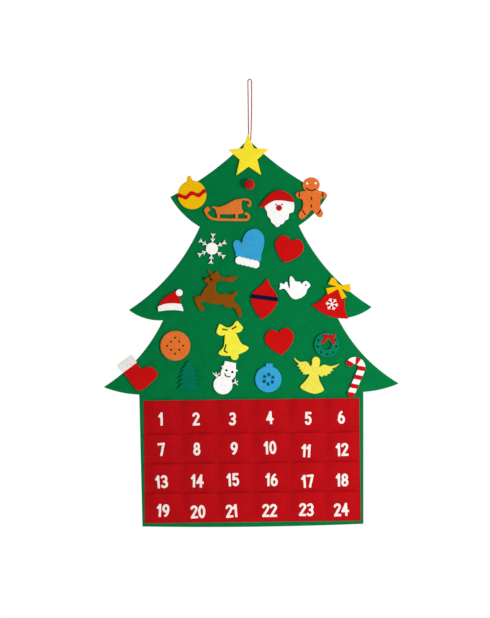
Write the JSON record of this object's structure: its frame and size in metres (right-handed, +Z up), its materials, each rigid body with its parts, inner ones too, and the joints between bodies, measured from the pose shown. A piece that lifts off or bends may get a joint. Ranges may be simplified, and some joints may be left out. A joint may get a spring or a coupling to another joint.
{
  "type": "felt advent calendar",
  "caption": "Hanging felt tree calendar with sewn numbered pockets, pull-off felt ornaments on hook pads and a cord loop.",
  "frame": {"origin": "the hanging point at the top of the cord loop, on the plane of the wall", "axes": "+Z up, +X to the viewer's right, +Y into the wall; the front faces -Y"},
  "size_m": [0.7356, 0.0291, 1.1202],
  "materials": {
    "green_felt": "matte felt",
    "pocket_felt": "matte felt",
    "white_felt": "matte felt",
    "red_thread": "matte thread",
    "hook_tape": "matte thread",
    "twisted_cord": "matte thread",
    "white_thread": "matte thread",
    "gold_felt": "matte felt",
    "red_yarn": "matte thread",
    "amber_felt": "matte felt",
    "red_felt": "matte felt",
    "orange_felt": "matte felt",
    "black_felt": "matte felt",
    "ginger_felt": "matte felt",
    "brown_felt": "matte felt",
    "blue_felt": "matte felt",
    "navy_felt": "matte felt",
    "lemon_felt": "matte felt",
    "teal_felt": "matte felt",
    "cream_felt": "matte felt",
    "dark_green_felt": "matte felt",
    "pale_yellow_felt": "matte felt"
  },
  "bodies": {
    "tree": {"backing_sheet": "green_felt", "pocket_row_1": "pocket_felt", "pocket_row_2": "pocket_felt", "pocket_row_3": "pocket_felt", "pocket_row_4": "pocket_felt", "numerals_row_1": "white_felt", "numerals_row_2": "white_felt", "numerals_row_3": "white_felt", "numerals_row_4": "white_felt", "seam_thread": "red_thread", "hook_pads": "hook_tape", "hanging_cord": "twisted_cord", "cord_bar_tack": "white_thread"},
    "star": {"star_topper": "gold_felt"},
    "pompom": {"red_pompom": "red_yarn"},
    "round_bauble": {"yellow_bauble": "amber_felt", "yellow_bauble_band": "red_felt"},
    "sleigh": {"sleigh": "orange_felt"},
    "santa": {"santa_head": "white_felt", "santa_cap": "red_felt", "santa_nose": "red_felt", "santa_eyes": "black_felt"},
    "gingerbread": {"gingerbread_man": "ginger_felt", "gingerbread_eyes": "white_felt", "gingerbread_stitches": "brown_felt"},
    "snowflake": {"snowflake": "white_felt"},
    "mitten": {"mitten": "blue_felt", "mitten_cuff": "white_felt"},
    "heart_upper": {"upper_heart": "red_felt"},
    "reindeer": {"reindeer": "brown_felt", "reindeer_face": "black_felt"},
    "hat": {"santa_hat": "red_felt", "hat_band": "white_felt", "hat_pom": "white_felt"},
    "drop_bauble": {"red_bauble": "red_felt", "red_bauble_band": "navy_felt"},
    "dove": {"dove": "white_felt", "dove_eye": "black_felt"},
    "bell_red": {"red_bell": "red_felt", "red_bell_bow": "amber_felt", "red_bell_snowflake": "white_felt"},
    "cookie": {"cookie": "ginger_felt", "cookie_dots": "brown_felt"},
    "bell_yellow": {"yellow_bell": "lemon_felt"},
    "heart_lower": {"lower_heart": "red_felt"},
    "wreath": {"wreath": "teal_felt", "wreath_bow": "red_felt"},
    "stocking": {"stocking": "red_felt", "stocking_cuff": "cream_felt"},
    "fir": {"fir_tree": "dark_green_felt"},
    "snowman": {"snowman": "white_felt", "snowman_face": "black_felt"},
    "blue_bauble": {"blue_bauble": "blue_felt"},
    "angel": {"angel": "pale_yellow_felt"},
    "cane": {"candy_cane": "white_felt", "candy_stripes": "red_felt"}
  },
  "joints": [
    {"name": "star_pull_off", "type": "slide", "parent": "tree", "child": "star", "axis": [0, -1, 0], "range_m": [0, 0.06]},
    {"name": "pompom_pull_off", "type": "slide", "parent": "tree", "child": "pompom", "axis": [0, -1, 0], "range_m": [0, 0.06]},
    {"name": "round_bauble_pull_off", "type": "slide", "parent": "tree", "child": "round_bauble", "axis": [0, -1, 0], "range_m": [0, 0.06]},
    {"name": "sleigh_pull_off", "type": "slide", "parent": "tree", "child": "sleigh", "axis": [0, -1, 0], "range_m": [0, 0.06]},
    {"name": "santa_pull_off", "type": "slide", "parent": "tree", "child": "santa", "axis": [0, -1, 0], "range_m": [0, 0.06]},
    {"name": "gingerbread_pull_off", "type": "slide", "parent": "tree", "child": "gingerbread", "axis": [0, -1, 0], "range_m": [0, 0.06]},
    {"name": "snowflake_pull_off", "type": "slide", "parent": "tree", "child": "snowflake", "axis": [0, -1, 0], "range_m": [0, 0.06]},
    {"name": "mitten_pull_off", "type": "slide", "parent": "tree", "child": "mitten", "axis": [0, -1, 0], "range_m": [0, 0.06]},
    {"name": "heart_upper_pull_off", "type": "slide", "parent": "tree", "child": "heart_upper", "axis": [0, -1, 0], "range_m": [0, 0.06]},
    {"name": "reindeer_pull_off", "type": "slide", "parent": "tree", "child": "reindeer", "axis": [0, -1, 0], "range_m": [0, 0.06]},
    {"name": "hat_pull_off", "type": "slide", "parent": "tree", "child": "hat", "axis": [0, -1, 0], "range_m": [0, 0.06]},
    {"name": "drop_bauble_pull_off", "type": "slide", "parent": "tree", "child": "drop_bauble", "axis": [0, -1, 0], "range_m": [0, 0.06]},
    {"name": "dove_pull_off", "type": "slide", "parent": "tree", "child": "dove", "axis": [0, -1, 0], "range_m": [0, 0.06]},
    {"name": "bell_red_pull_off", "type": "slide", "parent": "tree", "child": "bell_red", "axis": [0, -1, 0], "range_m": [0, 0.06]},
    {"name": "cookie_pull_off", "type": "slide", "parent": "tree", "child": "cookie", "axis": [0, -1, 0], "range_m": [0, 0.06]},
    {"name": "bell_yellow_pull_off", "type": "slide", "parent": "tree", "child": "bell_yellow", "axis": [0, -1, 0], "range_m": [0, 0.06]},
    {"name": "heart_lower_pull_off", "type": "slide", "parent": "tree", "child": "heart_lower", "axis": [0, -1, 0], "range_m": [0, 0.06]},
    {"name": "wreath_pull_off", "type": "slide", "parent": "tree", "child": "wreath", "axis": [0, -1, 0], "range_m": [0, 0.06]},
    {"name": "stocking_pull_off", "type": "slide", "parent": "tree", "child": "stocking", "axis": [0, -1, 0], "range_m": [0, 0.06]},
    {"name": "fir_pull_off", "type": "slide", "parent": "tree", "child": "fir", "axis": [0, -1, 0], "range_m": [0, 0.06]},
    {"name": "snowman_pull_off", "type": "slide", "parent": "tree", "child": "snowman", "axis": [0, -1, 0], "range_m": [0, 0.06]},
    {"name": "blue_bauble_pull_off", "type": "slide", "parent": "tree", "child": "blue_bauble", "axis": [0, -1, 0], "range_m": [0, 0.06]},
    {"name": "angel_pull_off", "type": "slide", "parent": "tree", "child": "angel", "axis": [0, -1, 0], "range_m": [0, 0.06]},
    {"name": "cane_pull_off", "type": "slide", "parent": "tree", "child": "cane", "axis": [0, -1, 0], "range_m": [0, 0.06]}
  ]
}
